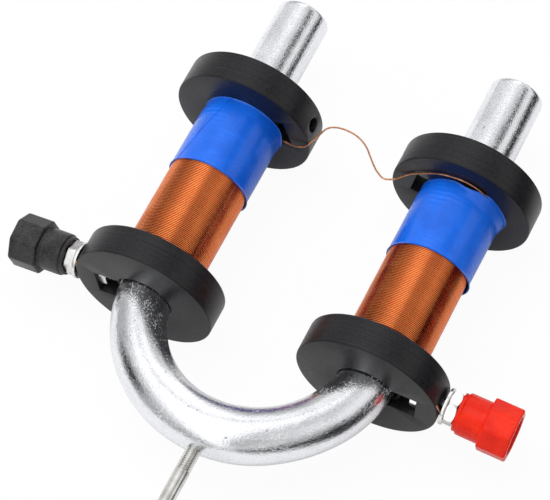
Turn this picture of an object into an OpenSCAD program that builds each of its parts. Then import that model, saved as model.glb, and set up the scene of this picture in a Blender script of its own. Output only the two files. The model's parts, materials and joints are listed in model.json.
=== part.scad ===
// Horseshoe electromagnet: a round bar bent into a U, a wound bobbin on each leg,
// a binding post for each coil and a threaded rod for holding it in a stand.
// It lies flat on the rims of its four bobbin flanges. Poles point to +Y, millimetres.

/* [Core] */
// Diameter of the bar
core_d = 22; // [19:0.5:22]
// Distance between the two legs, centre to centre
leg_pitch = 94; // [84:1:120]
// Length of each leg, from the start of the bend to the pole face
leg_len = 136; // [130:1:180]
// Rounding of the edge of each pole face
pole_round = 2; // [0.5:0.5:4]

/* [Mounting rod] */
// Diameter of the plain part of the rod
rod_d = 6; // [4:0.5:8]
// Mean diameter of the thread at its upper end
rod_thread_d = 5.4; // [4:0.1:8]
// Length of the rod outside the bar
rod_out = 80; // [40:1:120]
// Length of the thread that shows outside the bar
thread_out = 9; // [2:0.5:30]
// Depth of the rod inside the bar
rod_in = 12; // [6:1:14]

/* [Bobbins] */
// Length of a bobbin over both flanges
bobbin_len = 100; // [90:1:108]
// Diameter of a flange
flange_d = 58; // [54:1:64]
// Thickness of a flange
flange_t = 13; // [13:0.5:16]
// Thickness of the lip that stops the tube inside a flange
flange_lip = 3; // [2:0.5:5]
// Bevel round the edges of a flange
flange_bevel = 0.5; // [0.2:0.1:1]
// Gap all round between the bar and a bobbin
core_gap = 0.9; // [0.5:0.1:1.2]
// Wall of the bobbin tube
tube_wall = 1.2; // [0.8:0.1:1.4]
// Thickness of the wall between the rim and the window through a flange
rim_wall = 8.7; // [7:0.1:10]
// Angle by which the binding posts hang below the plane of the U
post_droop = 5; // [0:1:10]
// Angle by which the free rim holes sit above the plane of the U
hole_rise = 14; // [0:1:20]

/* [Windings] */
// Depth of the wire on the bobbin tube
winding_depth = 3.2; // [2.8:0.1:5]
// Number of turns drawn on the bare part of a winding
turns = 15; // [13:1:15]
// Gap between neighbouring turns
turn_gap = 0.5; // [0.45:0.05:0.8]
// Length over which a winding narrows at the pole end
neck_len = 3; // [1:0.5:5]
// How much its radius narrows there
neck_in = 0.9; // [0.2:0.1:1.2]

/* [Tape] */
// Thickness of the wrapped tape
tape_t = 0.4; // [0.2:0.1:0.6]
// Height of the tape's edge above the lower flange
tape_edge = 42.5; // [36:0.5:50]
// Length of the turns that run on under the tape
tape_lap = 0.8; // [0.5:0.1:3]
// Slant of the tape's edge on the left coil
left_slant = 1; // [0:0.5:12]
// Slant of the tape's edge on the right coil
right_slant = 0.5; // [0:0.5:12]

/* [Binding posts] */
// Diameter of the stud
stud_d = 6; // [5.5:0.1:6]
// Length of the stud
stud_len = 37.5; // [36:0.5:40]
// How far the stud stands out of the nut inside the window
stud_inside = 1.2; // [0.5:0.1:2]
// Diameter of the socket in the end of the stud
socket_d = 4; // [3.8:0.1:4.2]
// Depth of the socket
socket_depth = 19; // [14:1:22]
// Diameter of the washer on the rim
washer_d = 14.6; // [13.6:0.1:15.6]
// Thickness of that washer
washer_t = 1.4; // [1:0.1:2]
// Width across the flats of the nut inside the window
nut_af = 10; // [9:0.5:10]
// Width across the flats of the nut outside the rim
outer_nut_af = 12; // [11:0.5:12.5]
// Thickness of the nut outside the rim
outer_nut_t = 4; // [3:0.5:5]
// Thickness of the nut inside the window
inner_nut_t = 3.2; // [2.5:0.1:3.2]
// Chamfer round both ends of a nut
nut_chamfer = 0.5; // [0.2:0.1:0.7]
// Turn of the left post's nuts
left_nut_turn = 2.8; // [0:0.1:60]
// Turn of the right post's nuts
right_nut_turn = 14.2; // [0:0.1:60]

/* [Knobs] */
// Width of the eight-sided grip, across its corners
grip_d = 21.6; // [20.5:0.1:23]
// Length of the grip
grip_len = 11.8; // [10:0.1:15]
// Diameter of the round neck
neck_d = 16.8; // [16:0.1:18]
// Length of the neck
neck_part_len = 10.9; // [9.5:0.1:12]
// Length of the collar at the inner end of the neck
collar_len = 1.4; // [1:0.1:2]
// How much smaller the collar's radius is
collar_in = 0.8; // [0.4:0.1:1]
// Bevel round both ends of the grip
grip_bevel = 0.7; // [0.3:0.1:1]
// Diameter of the hollow in the end of the grip
mouth_d = 15.6; // [14.6:0.1:16.2]
// Depth of that hollow
mouth_depth = 6; // [6:0.1:7]
// Diameter of the hollow round the bush at the inner end
cuff_d = 12.8; // [12:0.1:13.2]
// Depth of that hollow
cuff_depth = 1.5; // [1:0.1:2]
// Diameter of the threaded bush
bush_d = 9; // [8.5:0.1:10]
// Length of the bush
bush_len = 10; // [8:0.5:11]
// Turn of the left grip's corners
left_grip_turn = 12.7; // [0:0.1:45]
// Turn of the right grip's corners
right_grip_turn = 6.5; // [0:0.1:45]

/* [Wires] */
// Diameter of the winding wire
wire_d = 0.7; // [0.5:0.05:0.7]

/* [Fits] */
// Gap all round where one piece turns or slides on another
running_gap = 0.06; // [0.03:0.01:0.1]
// Gap all round where one piece is fixed inside another
close_gap = 0.05; // [0.02:0.01:0.1]
// Gap between faces that come to rest on each other
seat_gap = 0.1; // [0.05:0.05:0.2]
// Gap all round a stud in the hole through a rim
hole_gap = 0.1; // [0.05:0.05:0.3]
// Gap between the corners of a nut and the walls of the window
nut_room = 0.7; // [0.5:0.1:1.5]

/* [Hidden] */
$fn = 96;
LEFT = -1;
RIGHT = 1;

// The U: its plane is the plane z = 0 until the whole is set down on the flange rims
core_r = core_d / 2;
leg_x = leg_pitch / 2;
inner_bend_r = leg_x - core_r;
bend_bottom = -leg_x - core_r;
y_shift = -(leg_len + bend_bottom - rod_out) / 2;

// A bobbin slides down its leg until the inside of its bore meets the start of the bend
bore_r = core_r + core_gap;
bobbin_drop = sqrt(pow(inner_bend_r, 2) - pow(inner_bend_r - core_gap, 2)) - seat_gap;
bobbin_y = -bobbin_drop;
tube_r = bore_r + tube_wall;
tube_seat_r = tube_r + close_gap;
flange_r = flange_d / 2;

// Binding post: distances are measured from the axis of the leg, along the post
slot_reach = flange_r - rim_wall;
nut_corner_d = nut_af / cos(30);
slot_w = nut_corner_d + 2 * nut_room;
nut_hole_d = stud_d + 2 * close_gap;
inner_nut_at = slot_reach - seat_gap - inner_nut_t;
stud_at = inner_nut_at - stud_inside;
washer_at = flange_r + wire_d;
outer_nut_at = washer_at + washer_t;
knob_at = outer_nut_at + outer_nut_t + 2 * seat_gap;
knob_len = neck_part_len + grip_len;

// Winding: heights are measured from the inner face of the lower flange
winding_r = tube_r + winding_depth;
wound_len = bobbin_len - 2 * flange_t;
turns_len = tape_edge + winding_r * tan(max(left_slant, right_slant)) + tape_lap;
turn_d = (turns_len - 2 * seat_gap - turns * turn_gap) / (turns + 1);
turn_pitch = turn_d + turn_gap;
turn_r = winding_r - turn_d / 2;
first_turn_h = seat_gap + turn_d / 2;
last_turn_h = first_turn_h + turns * turn_pitch;
turn_steps = 24;
turn_sides = 6;
bend_steps = 4;
end_bend_r = 0.6 * turn_d;
end_bend_angle = end_bend_r / turn_r * 180 / PI;
start_angle = asin((slot_w / 2 - turn_d / 2 - 4 * seat_gap) / turn_r) - post_droop;
first_turn_angle = start_angle + end_bend_angle;
end_angle = first_turn_angle + end_bend_angle;
end_h = last_turn_h + end_bend_r + turn_d;
under_r = turn_r * cos(180 / turn_steps) - turn_d / 2 - close_gap;
full_r = winding_r - close_gap;
neck_r = full_r - neck_in;
tape_r = winding_r + close_gap;
tape_neck_r = neck_r + 2 * close_gap;

// A coil's lead lies on the flange's inner face, then crosses the rim under the washer
lead_face = flange_t + wire_d / 2 + seat_gap;
lead_rim = flange_r + wire_d / 2 + close_gap;

// Route of the link wire from coil to coil: x from the middle, y from the outer face
// of a lower flange, z from the plane of the U
LINK_ROUTE = [
    [-30.6, 86.4, -1], [-28.5, 86.2, -0.5], [-25, 85.7, 0], [-21.5, 85.6, 1], [-19.2, 86.2, 2],
    [-17.4, 87.2, 4], [-16.1, 89.2, 5], [-14.9, 91.3, 6], [-13.7, 93.4, 7], [-12, 94.6, 8],
    [-10.1, 95.2, 8.5], [-8, 95.4, 9], [-3.7, 95.4, 9], [0, 94.8, 8.5], [4.5, 92.4, 8],
    [7.9, 89.2, 7], [10.4, 86.8, 6], [12.9, 85, 5], [15.8, 84, 4], [18.6, 84.4, 4.5],
    [20.7, 85, 5.5], [23.2, 86, 7.5], [25.8, 86.4, 10], [30, 86.4, 13.4], [34, 86.4, 16],
    [39, 86.4, 18.6], [43.5, 86.4, 19.6], [48, 86.4, 19.8], [52.5, 86.4, 18.7], [56.5, 86.4, 16.2],
    [59.2, 86.4, 13.1], [60.5, 86.4, 9.8]];
// Route of a coil's lead over the face: share of the way from coil to rim, and angle
// from the post
LEAD_ON_FACE = [[0.01, -78], [0.15, -72], [0.38, -62], [0.66, -50], [0.89, -41]];
// Its route over the rim, round the stud: angle from the post, and height as a share
// of the flange's thickness
LEAD_ON_RIM = [[-35.5, 1], [-32, 0.94], [-28, 0.85], [-23, 0.73], [-17, 0.65], [-12, 0.54],
    [-8, 0.42], [-6, 0.31], [-3, 0.22], [1, 0.19], [5, 0.16], [10, 0.1], [14.5, 0.07], [18, 0.06]];

// Least distance between points of a path that are not close along it, less its width
function self_gap(path, skip, reach, width) = min([
    for (i = [0 : len(path) - skip - 1])
        for (j = [i + skip : min(i + reach, len(path) - 1)])
            norm(path[j] - path[i])]) - width;

function unit(v) = v / norm(v);
function chord(path, i) = unit(path[min(i + 1, len(path) - 1)] - path[max(i - 1, 0)]);

// Point at t between 0 and 1 on a smooth curve from b to c, with neighbours a and d
function smooth(a, b, c, d, t) = 0.5 * (2 * b + t * (c - a) + t * t * (2 * a - 5 * b + 4 * c - d)
    + t * t * t * (3 * b - a - 3 * c + d));
function smooth_path(p, steps) = let (last = len(p) - 1) concat(
    [for (i = [0 : last - 1]) for (s = [0 : steps - 1])
        smooth(p[max(i - 1, 0)], p[i], p[i + 1], p[min(i + 2, last)], s / steps)], [p[last]]);

// Side directions along a path, carried from ring to ring without twist
function carried(path, i, side) = let (t = chord(path, i)) unit(side - (side * t) * t);
function sides(path, i, side) = i == len(path) ? []
    : let (s = carried(path, i, side)) concat([s], sides(path, i + 1, s));

// Tube of n sides swept along a path, with one side direction for each ring
module tube(path, side, d, n) {
    rings = len(path);
    points = [for (i = [0 : rings - 1]) let (b = cross(chord(path, i), side[i]))
        for (k = [0 : n - 1]) path[i] + d / 2 * (cos(360 * k / n) * side[i] + sin(360 * k / n) * b)];
    walls = [for (i = [0 : rings - 2]) for (k = [0 : n - 1])
        let (a = i * n + k, b = i * n + (k + 1) % n)
            each [[a, b + n, b], [a, a + n, b + n]]];
    caps = [for (k = [1 : n - 2]) each [[0, k, k + 1],
        [(rings - 1) * n, (rings - 1) * n + k + 1, (rings - 1) * n + k]]];
    polyhedron(points = points, faces = concat(walls, caps));
}

// Places: a left-hand piece is the mirror image of the right-hand one
module on_floor() translate([0, y_shift, flange_r]) children();
module on_leg(side) on_floor() mirror([side == LEFT ? 1 : 0, 0, 0])
    translate([leg_x, 0, 0]) children();
module on_bobbin(side) on_leg(side) translate([0, bobbin_y, 0]) children();
module on_post(side) on_bobbin(side) rotate([0, post_droop, 0])
    translate([0, flange_t / 2, 0]) children();
module along_y() rotate([-90, 0, 0]) children();
module along_x() rotate([0, 90, 0]) children();

module core() color([0.82, 0.83, 0.84]) on_floor() {
    difference() {
        union() {
            translate([0, 0, 0]) rotate([0, 0, 180]) rotate_extrude(angle = 180)
                translate([leg_x, 0]) circle(r = core_r);
            for (side = [LEFT, RIGHT]) translate([side * leg_x, 0, 0]) along_y() rotate_extrude() {
                square([core_r, leg_len - pole_round]);
                square([core_r - pole_round, leg_len]);
                translate([core_r - pole_round, leg_len - pole_round]) intersection() {
                    circle(r = pole_round);
                    square(pole_round);
                }
            }
        }
        translate([0, bend_bottom - 1, 0]) along_y()
            cylinder(r = rod_thread_d / 2 + close_gap, h = rod_in + 1);
    }
}

module suspension_rod() color([0.72, 0.73, 0.74]) on_floor()
    translate([0, bend_bottom - rod_out, 0]) along_y() {
        cylinder(d1 = rod_d - 1, d2 = rod_d, h = 0.5);
        translate([0, 0, 0.5]) cylinder(d = rod_d, h = rod_out - thread_out - 0.5);
        translate([0, 0, rod_out - thread_out])
            cylinder(d = rod_thread_d, h = thread_out + rod_in - seat_gap);
    }

module bobbin_tube(side) color([0.13, 0.13, 0.13]) on_bobbin(side)
    translate([0, flange_lip, 0]) along_y() difference() {
        cylinder(r = tube_r, h = bobbin_len - 2 * flange_lip);
        translate([0, 0, -1]) cylinder(r = bore_r, h = bobbin_len);
    }

// Outer face at y = 0, inner face towards +Y, window and rim hole towards +X
module flange() difference() {
    along_y() rotate_extrude() polygon([
        [bore_r, 0], [flange_r - flange_bevel, 0], [flange_r, flange_bevel],
        [flange_r, flange_t - flange_bevel], [flange_r - flange_bevel, flange_t],
        [tube_seat_r, flange_t], [tube_seat_r, flange_lip], [bore_r, flange_lip]]);
    translate([0, -1, -slot_w / 2]) cube([slot_reach, flange_t + 2, slot_w]);
    translate([core_r, flange_t / 2, 0]) along_x() cylinder(r = stud_d / 2 + hole_gap, h = flange_d);
}

module yoke_flange(side) color([0.17, 0.17, 0.18]) on_bobbin(side)
    rotate([0, post_droop, 0]) flange();

module pole_flange(side) color([0.17, 0.17, 0.18]) on_bobbin(side)
    translate([0, bobbin_len, 0]) mirror([0, 1, 0]) mirror([1, 0, 0])
        rotate([0, -hole_rise, 0]) flange();

module inner_winding(side) color([0.55, 0.22, 0.08]) on_bobbin(side)
    translate([0, flange_t, 0]) difference() {
        along_y() rotate_extrude() polygon([
            [tube_seat_r, 0], [under_r, 0], [under_r, turns_len], [full_r, turns_len],
            [full_r, wound_len - neck_len], [neck_r, wound_len], [tube_seat_r, wound_len]]);
        rotate([0, -end_angle, 0]) translate([under_r, turns_len - 1, -turn_d / 2 - 2 * seat_gap])
            cube([turn_d + 2, end_h + seat_gap - turns_len + 1, turn_d + 4 * seat_gap]);
    }

// Centre line of the wound layer: it comes straight out of the flange's window, turns
// into the first loop, climbs one pitch a loop and dives straight into its notch
function on_drum(angle, h) = [turn_r * cos(angle), h, turn_r * sin(angle)];
WINDING_PATH = concat(
    [on_drum(start_angle, first_turn_h - end_bend_r - turn_d)],
    [for (k = [0 : bend_steps - 1]) let (a = 90 * k / bend_steps)
        on_drum(start_angle + end_bend_angle * (1 - cos(a)), first_turn_h - end_bend_r * (1 - sin(a)))],
    [for (k = [0 : turns * turn_steps])
        on_drum(first_turn_angle + 360 * k / turn_steps, first_turn_h + turn_pitch * k / turn_steps)],
    [for (k = [1 : bend_steps]) let (a = 90 * k / bend_steps)
        on_drum(first_turn_angle + end_bend_angle * sin(a), last_turn_h + end_bend_r * (1 - cos(a)))],
    [on_drum(end_angle, end_h)]);
WINDING_SIDES = [for (p = WINDING_PATH) unit([p[0], 0, p[2]])];
echo(least_gap_between_turns = self_gap(WINDING_PATH, 14, 34, turn_d));

module outer_winding(side) color([0.72, 0.33, 0.12]) on_bobbin(side) translate([0, flange_t, 0])
    tube(WINDING_PATH, WINDING_SIDES, turn_d, turn_sides);

module tape(side, slant) color([0.1, 0.38, 0.88]) on_bobbin(side)
    translate([0, flange_t, 0]) difference() {
        along_y() rotate_extrude() polygon([
            [tape_r, 0], [tape_r + tape_t, 0], [tape_r + tape_t, wound_len - neck_len],
            [tape_neck_r + tape_t, wound_len], [tape_neck_r, wound_len], [tape_r, wound_len - neck_len]]);
        translate([0, tape_edge, 0]) rotate([0, 0, slant]) translate([-flange_d, -2 * wound_len, -flange_d])
            cube([2 * flange_d, 2 * wound_len, 2 * flange_d]);
    }

LEAD_PATH = smooth_path(concat(
    [for (p = LEAD_ON_FACE) let (r = winding_r + p[0] * (flange_r - winding_r) + wire_d / 2)
        [r * cos(p[1]), lead_face, r * sin(p[1])]],
    [for (p = LEAD_ON_RIM)
        [lead_rim * cos(p[0]), p[1] * flange_t, lead_rim * sin(p[0])]]), 2);
module lead_wire(side) color([0.66, 0.34, 0.16]) on_bobbin(side) rotate([0, post_droop, 0])
    tube(LEAD_PATH, sides(LEAD_PATH, 0, [0, 1, 0]), wire_d, 8);

LINK_PATH = smooth_path(LINK_ROUTE, 2);
module link_wire() color([0.66, 0.34, 0.16]) on_floor() translate([0, bobbin_y, 0])
    tube(LINK_PATH, sides(LINK_PATH, 0, [0, 1, 0]), wire_d, 8);

module stud(side) color([0.86, 0.86, 0.84]) on_post(side) translate([stud_at, 0, 0]) along_x()
    difference() {
        cylinder(d = stud_d, h = stud_len);
        translate([0, 0, stud_len - socket_depth]) cylinder(d = socket_d, h = socket_depth + 1);
    }

// Six-sided nut, its corners cut off by a cone at both ends
module nut(side, flats, thickness) along_x() difference() {
    intersection() {
        rotate([0, 0, side == LEFT ? left_nut_turn : right_nut_turn])
            cylinder(d = flats / cos(30), h = thickness, $fn = 6);
        rotate_extrude() polygon([[0, 0], [flats / 2, 0], [flats / 2 + 2 * nut_chamfer, nut_chamfer],
            [flats / 2 + 2 * nut_chamfer, thickness - nut_chamfer], [flats / 2, thickness],
            [0, thickness]]);
    }
    translate([0, 0, -1]) cylinder(d = nut_hole_d, h = thickness + 2);
}

module inner_nut(side) color([0.86, 0.86, 0.84]) on_post(side)
    translate([inner_nut_at, 0, 0]) nut(side, nut_af, inner_nut_t);

module outer_nut(side) color([0.86, 0.86, 0.84]) on_post(side)
    translate([outer_nut_at, 0, 0]) nut(side, outer_nut_af, outer_nut_t);

module washer(side) color([0.86, 0.86, 0.84]) on_post(side) translate([washer_at, 0, 0]) along_x()
    difference() {
        cylinder(d = washer_d, h = washer_t);
        translate([0, 0, -1]) cylinder(d = nut_hole_d, h = washer_t + 2);
    }

module bush(side) color([0.78, 0.62, 0.3]) on_post(side) translate([knob_at, 0, 0]) along_x()
    difference() {
        cylinder(d = bush_d, h = bush_len);
        translate([0, 0, -1]) cylinder(r = stud_d / 2 + running_gap, h = bush_len + 2);
    }

// Round neck with a collar, and an eight-sided grip, hollow at both ends, on a bush that it
// turns with
module knob(side, tint) color(tint) on_post(side) translate([knob_at, 0, 0]) along_x()
    difference() {
        union() {
            rotate_extrude() polygon([[0, 0], [neck_d / 2 - collar_in - 0.4, 0],
                [neck_d / 2 - collar_in, 0.4], [neck_d / 2 - collar_in, collar_len],
                [neck_d / 2, collar_len + 0.4], [neck_d / 2, neck_part_len + 1], [0, neck_part_len + 1]]);
            translate([0, 0, neck_part_len]) intersection() {
                rotate([0, 0, 180 - (side == LEFT ? left_grip_turn : right_grip_turn)])
                    cylinder(d = grip_d, h = grip_len, $fn = 8);
                rotate_extrude() polygon([[0, 0], [grip_d / 2 - grip_bevel, 0],
                    [grip_d / 2 + grip_bevel, 2 * grip_bevel],
                    [grip_d / 2 + grip_bevel, grip_len - 2 * grip_bevel],
                    [grip_d / 2 - grip_bevel, grip_len], [0, grip_len]]);
            }
        }
        translate([0, 0, knob_len - mouth_depth]) cylinder(d = mouth_d, h = mouth_depth + 1);
        translate([0, 0, -1]) cylinder(d = cuff_d, h = cuff_depth + 1);
        translate([0, 0, -1]) cylinder(r = bush_d / 2 + running_gap, h = bush_len + 1 + seat_gap);
        cylinder(r = stud_d / 2 + 4 * running_gap, h = knob_len);
    }

core();
suspension_rod();
bobbin_tube(LEFT);  // left_bobbin_tube
bobbin_tube(RIGHT);  // right_bobbin_tube
yoke_flange(LEFT);  // left_yoke_flange
yoke_flange(RIGHT);  // right_yoke_flange
pole_flange(LEFT);  // left_pole_flange
pole_flange(RIGHT);  // right_pole_flange
inner_winding(LEFT);  // left_inner_winding
inner_winding(RIGHT);  // right_inner_winding
outer_winding(LEFT);  // left_outer_winding
outer_winding(RIGHT);  // right_outer_winding
tape(LEFT, left_slant);  // left_tape
tape(RIGHT, right_slant);  // right_tape
lead_wire(LEFT);  // left_lead_wire
lead_wire(RIGHT);  // right_lead_wire
link_wire();
stud(LEFT);  // left_stud
stud(RIGHT);  // right_stud
inner_nut(LEFT);  // left_inner_nut
inner_nut(RIGHT);  // right_inner_nut
washer(LEFT);  // left_washer
washer(RIGHT);  // right_washer
outer_nut(LEFT);  // left_outer_nut
outer_nut(RIGHT);  // right_outer_nut
bush(LEFT);  // left_bush
bush(RIGHT);  // right_bush
knob(LEFT, [0.15, 0.15, 0.15]);  // left_knob
knob(RIGHT, [0.9, 0.16, 0.1]);  // right_knob
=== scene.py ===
# Horseshoe electromagnet, dressed over its solids. Metres, in the part's own frame:
# +Y runs from the mounting rod to the poles, +X to the red knob, +Z up from the floor.
import json
import math

import bmesh
import bpy
from mathutils import Matrix, Vector, noise


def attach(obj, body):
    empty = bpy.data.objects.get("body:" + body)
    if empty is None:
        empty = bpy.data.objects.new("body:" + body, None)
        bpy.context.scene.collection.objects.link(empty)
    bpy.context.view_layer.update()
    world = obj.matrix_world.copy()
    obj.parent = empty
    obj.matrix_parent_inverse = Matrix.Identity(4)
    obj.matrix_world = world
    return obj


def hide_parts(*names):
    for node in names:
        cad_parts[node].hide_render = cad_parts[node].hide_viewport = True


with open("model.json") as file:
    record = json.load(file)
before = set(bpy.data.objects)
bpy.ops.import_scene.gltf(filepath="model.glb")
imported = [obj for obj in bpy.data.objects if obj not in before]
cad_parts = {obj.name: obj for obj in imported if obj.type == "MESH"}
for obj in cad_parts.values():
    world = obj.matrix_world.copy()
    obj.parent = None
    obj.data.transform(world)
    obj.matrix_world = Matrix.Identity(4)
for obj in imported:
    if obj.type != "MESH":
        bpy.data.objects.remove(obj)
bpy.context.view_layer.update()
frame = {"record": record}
scene = bpy.context.scene
MM = 0.001

# Camera: it stands beyond the bend, looks steeply down and is held a little askew. The
# three directions are the picture's right, down and forward, in the magnet's frame.
CAMERA_PLACE = (0.257109, -0.404363, 0.895007)
PICTURE_RIGHT = Vector((0.89812975, 0.4360416, -0.05683906))
PICTURE_DOWN = Vector((0.35058316, -0.7880671, -0.50600562))
PICTURE_FORWARD = Vector((-0.26543249, 0.43453188, -0.86065535))


def add_object(name, data):
    """A new object in the scene that holds the data."""
    made = bpy.data.objects.new(name, data)
    scene.collection.objects.link(made)
    return made


camera_data = bpy.data.cameras.new("studio_camera")
camera_data.lens = 170.76
camera_data.sensor_width = 36
camera_data.sensor_fit = "HORIZONTAL"
camera_data.clip_start = 0.05
camera_data.clip_end = 20
camera = add_object("studio_camera", camera_data)
picture_axes = Matrix((PICTURE_RIGHT, -PICTURE_DOWN, -PICTURE_FORWARD)).transposed()
camera.matrix_world = Matrix.Translation(CAMERA_PLACE) @ picture_axes.to_4x4()
scene.camera = camera

# Link wire: one bare run of enamelled copper wire joins the coils at their pole ends. It
# is stiff enough to stand in the loose bends it was given, and goes in under both tapes.
# Its route is in mm, across, up from the lower flanges' outer faces, and above the legs.
WIRE_D = 0.7 * MM
YOKE_FACE_Y = -6.899 * MM
LEG_Z = 29 * MM
LINK_ROUTE = [
    (-30.6, 86.4, -1), (-28.5, 86.2, -0.5), (-25, 85.7, 0), (-21.5, 85.6, 1), (-19.2, 86.2, 2),
    (-17.4, 87.2, 4), (-16.1, 89.2, 5), (-14.9, 91.3, 6), (-13.7, 93.4, 7), (-12, 94.6, 8),
    (-10.1, 95.2, 8.5), (-8, 95.4, 9), (-3.7, 95.4, 9), (0, 94.8, 8.5), (4.5, 92.4, 8),
    (7.9, 89.2, 7), (10.4, 86.8, 6), (12.9, 85, 5), (15.8, 84, 4), (18.6, 84.4, 4.5),
    (20.7, 85, 5.5), (23.2, 86, 7.5), (25.8, 86.4, 10), (30, 86.4, 13.4), (34, 86.4, 16),
    (39, 86.4, 18.6), (43.5, 86.4, 19.6), (48, 86.4, 19.8), (52.5, 86.4, 18.7), (56.5, 86.4, 16.2),
    (59.2, 86.4, 13.1), (60.5, 86.4, 9.8)]


def put(tree, kind, feeds=None, **settings):
    """A node with its settings, and its sockets fed by values or by other sockets."""
    node = tree.nodes.new(kind)
    for name, value in settings.items():
        setattr(node, name, value)
    for name, value in (feeds or {}).items():
        if isinstance(value, bpy.types.NodeSocket):
            tree.links.new(value, node.inputs[name])
        else:
            node.inputs[name].default_value = value
    return node


def socket_name(key):
    return key.replace("_", " ").title().replace("Ior", "IOR")


def new_finish(name, **values):
    """A material with plain values on its shader, and its tree and shader to build on."""
    finish = bpy.data.materials.new(name)
    finish.use_nodes = True
    shader = finish.node_tree.nodes["Principled BSDF"]
    for key, value in values.items():
        shader.inputs[socket_name(key)].default_value = value
    return finish, finish.node_tree, shader


def feed(tree, shader, **feeds):
    """Lead what changes over the surface into the shader's sockets."""
    for key, value in feeds.items():
        tree.links.new(value, shader.inputs[socket_name(key)])


def object_place(tree):
    return put(tree, "ShaderNodeTexCoord").outputs["Object"]


def noise_fac(tree, vector, scale, detail=3.0, rough=0.5):
    return put(tree, "ShaderNodeTexNoise", {"Vector": vector, "Scale": scale, "Detail": detail,
                                            "Roughness": rough}).outputs["Fac"]


def ramp(tree, share, *stops):
    """Colour that runs through the stops as the share goes from 0 to 1."""
    node = put(tree, "ShaderNodeValToRGB", {"Fac": share})
    elements = node.color_ramp.elements
    elements[0].position, elements[0].color = stops[0][0], (*stops[0][1], 1)
    elements[1].position, elements[1].color = stops[-1][0], (*stops[-1][1], 1)
    for position, colour in stops[1:-1]:
        elements.new(position).color = (*colour, 1)
    return node.outputs["Color"]


def bent_wire(name, points, finish):
    """A round wire through the points, of the winding wire's thickness."""
    line = bpy.data.curves.new(name, "CURVE")
    line.dimensions = "3D"
    line.bevel_depth = WIRE_D / 2
    line.bevel_resolution = 3
    line.resolution_u = 6
    line.use_fill_caps = True
    spline = line.splines.new("BEZIER")
    spline.bezier_points.add(len(points) - 1)
    for knot, point in zip(spline.bezier_points, points):
        knot.co = point
        knot.handle_left_type = knot.handle_right_type = "AUTO"
    line.materials.append(finish)
    return add_object(name, line)


carrier = {node: body for body, nodes in frame["record"]["behaviour"]["bodies"].items()
           for node in nodes}


def stand_in(piece, node):
    """Let a finished piece stand for a solid, and move with the body that carries the solid."""
    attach(piece, carrier[node])
    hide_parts(node)


wire_copper, tree, shader = new_finish("enamelled_wire", metallic=0.9, roughness=0.3,
                                       coat_weight=0.5, coat_roughness=0.1)
feed(tree, shader, base_color=ramp(tree, noise_fac(tree, object_place(tree), 700.0),
                                   (0.35, (0.46, 0.17, 0.06)), (0.65, (0.76, 0.34, 0.14))))

link_points = [Vector((x * MM, y * MM + YOKE_FACE_Y, z * MM + LEG_Z)) for x, y, z in LINK_ROUTE]
link_wire = bent_wire("link_wire_bent", link_points, wire_copper)
stand_in(link_wire, "link_wire")

# Studio: a white tent over a pale table. Shiny parts mirror its near and far walls, the
# four dark cards that stand in it and the table, which keeps the shadow.
# A wall's stops are leans, from the east at 0 over the top to the west at 1, and glows.
TENT_NEAR = ((0.0, 0.05), (0.08, 0.3), (0.15, 0.8), (0.25, 0.95), (0.34, 0.75), (0.42, 0.6),
             (0.475, 0.8), (0.51, 1.35), (0.6, 1.5), (0.67, 1.2), (0.73, 0.75), (0.81, 0.5),
             (0.9, 0.45), (1.0, 0.45))
TENT_FAR = ((0.0, 0.3), (0.08, 0.7), (0.15, 0.95), (0.25, 0.8), (0.4, 0.7), (0.47, 0.82),
            (0.75, 0.86), (1.0, 0.86))
FAR_WALL, WALL_HALF, WALL_FADED = 0.43, 0.07, 0.15
SKIRT_LOW, SKIRT_HIGH, SKIRT_GLOW = 0.015, 0.05, 0.03
SKIRT_RISES_FROM, SKIRT_RISES_TO, SKIRT_RISE = 0.6, 0.9, 0.19
# A card is a direction, the reach of its middle and of its soft edge, and what stays lit.
DARK_CARDS = (((-0.88, -0.33, 0.33), 0.18, 0.26, 0.03), ((0.80, -0.45, 0.34), 0.1, 0.2, 0.35),
              ((0.50, 0.45, 0.74), 0.14, 0.2, 0.03), ((0.42, -0.78, 0.46), 0.3, 0.42, 0.68))
# Numbers of a mixing node's colour sockets.
MIX_A, MIX_B, MIX_OUT = 6, 7, 2
TABLE_HALF = 4
PAPER_ENDS, PAPER_GONE = 0.09, 0.16
TABLE_WHITENED = 0.95
TABLE_GLOW, BEYOND_GLOW, LEAST_MIRRORED = 0.95, 0.04, 0.25


def figure(tree, operation, *terms):
    """The result of one step of arithmetic."""
    node = put(tree, "ShaderNodeMath", dict(enumerate(terms)), operation=operation)
    return node.outputs[0]


def vector_figure(tree, operation, feeds):
    """What a vector operation gives: a number for a length or a distance, or else a vector."""
    outputs = put(tree, "ShaderNodeVectorMath", feeds, operation=operation).outputs
    return outputs["Value"] if operation in ("LENGTH", "DISTANCE") else outputs["Vector"]


def spread(tree, value, low, high, to_low, to_high):
    return put(tree, "ShaderNodeMapRange", {"Value": value, "From Min": low, "From Max": high,
                                            "To Min": to_low, "To Max": to_high}).outputs["Result"]


def axes_of(tree, place):
    return put(tree, "ShaderNodeSeparateXYZ", {"Vector": place}).outputs


def mixed(tree, share, first, second):
    """Two shaders in one: none of the second at 0, nothing else at 1."""
    return put(tree, "ShaderNodeMixShader", {0: share, 1: first.outputs[0], 2: second.outputs[0]})


def ray_kinds(tree):
    """Whether a ray comes from the camera, and whether it comes off a shine or through glass."""
    ray = put(tree, "ShaderNodeLightPath").outputs
    shiny = figure(tree, "MAXIMUM", ray["Is Glossy Ray"], ray["Is Transmission Ray"])
    return ray["Is Camera Ray"], shiny


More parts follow.
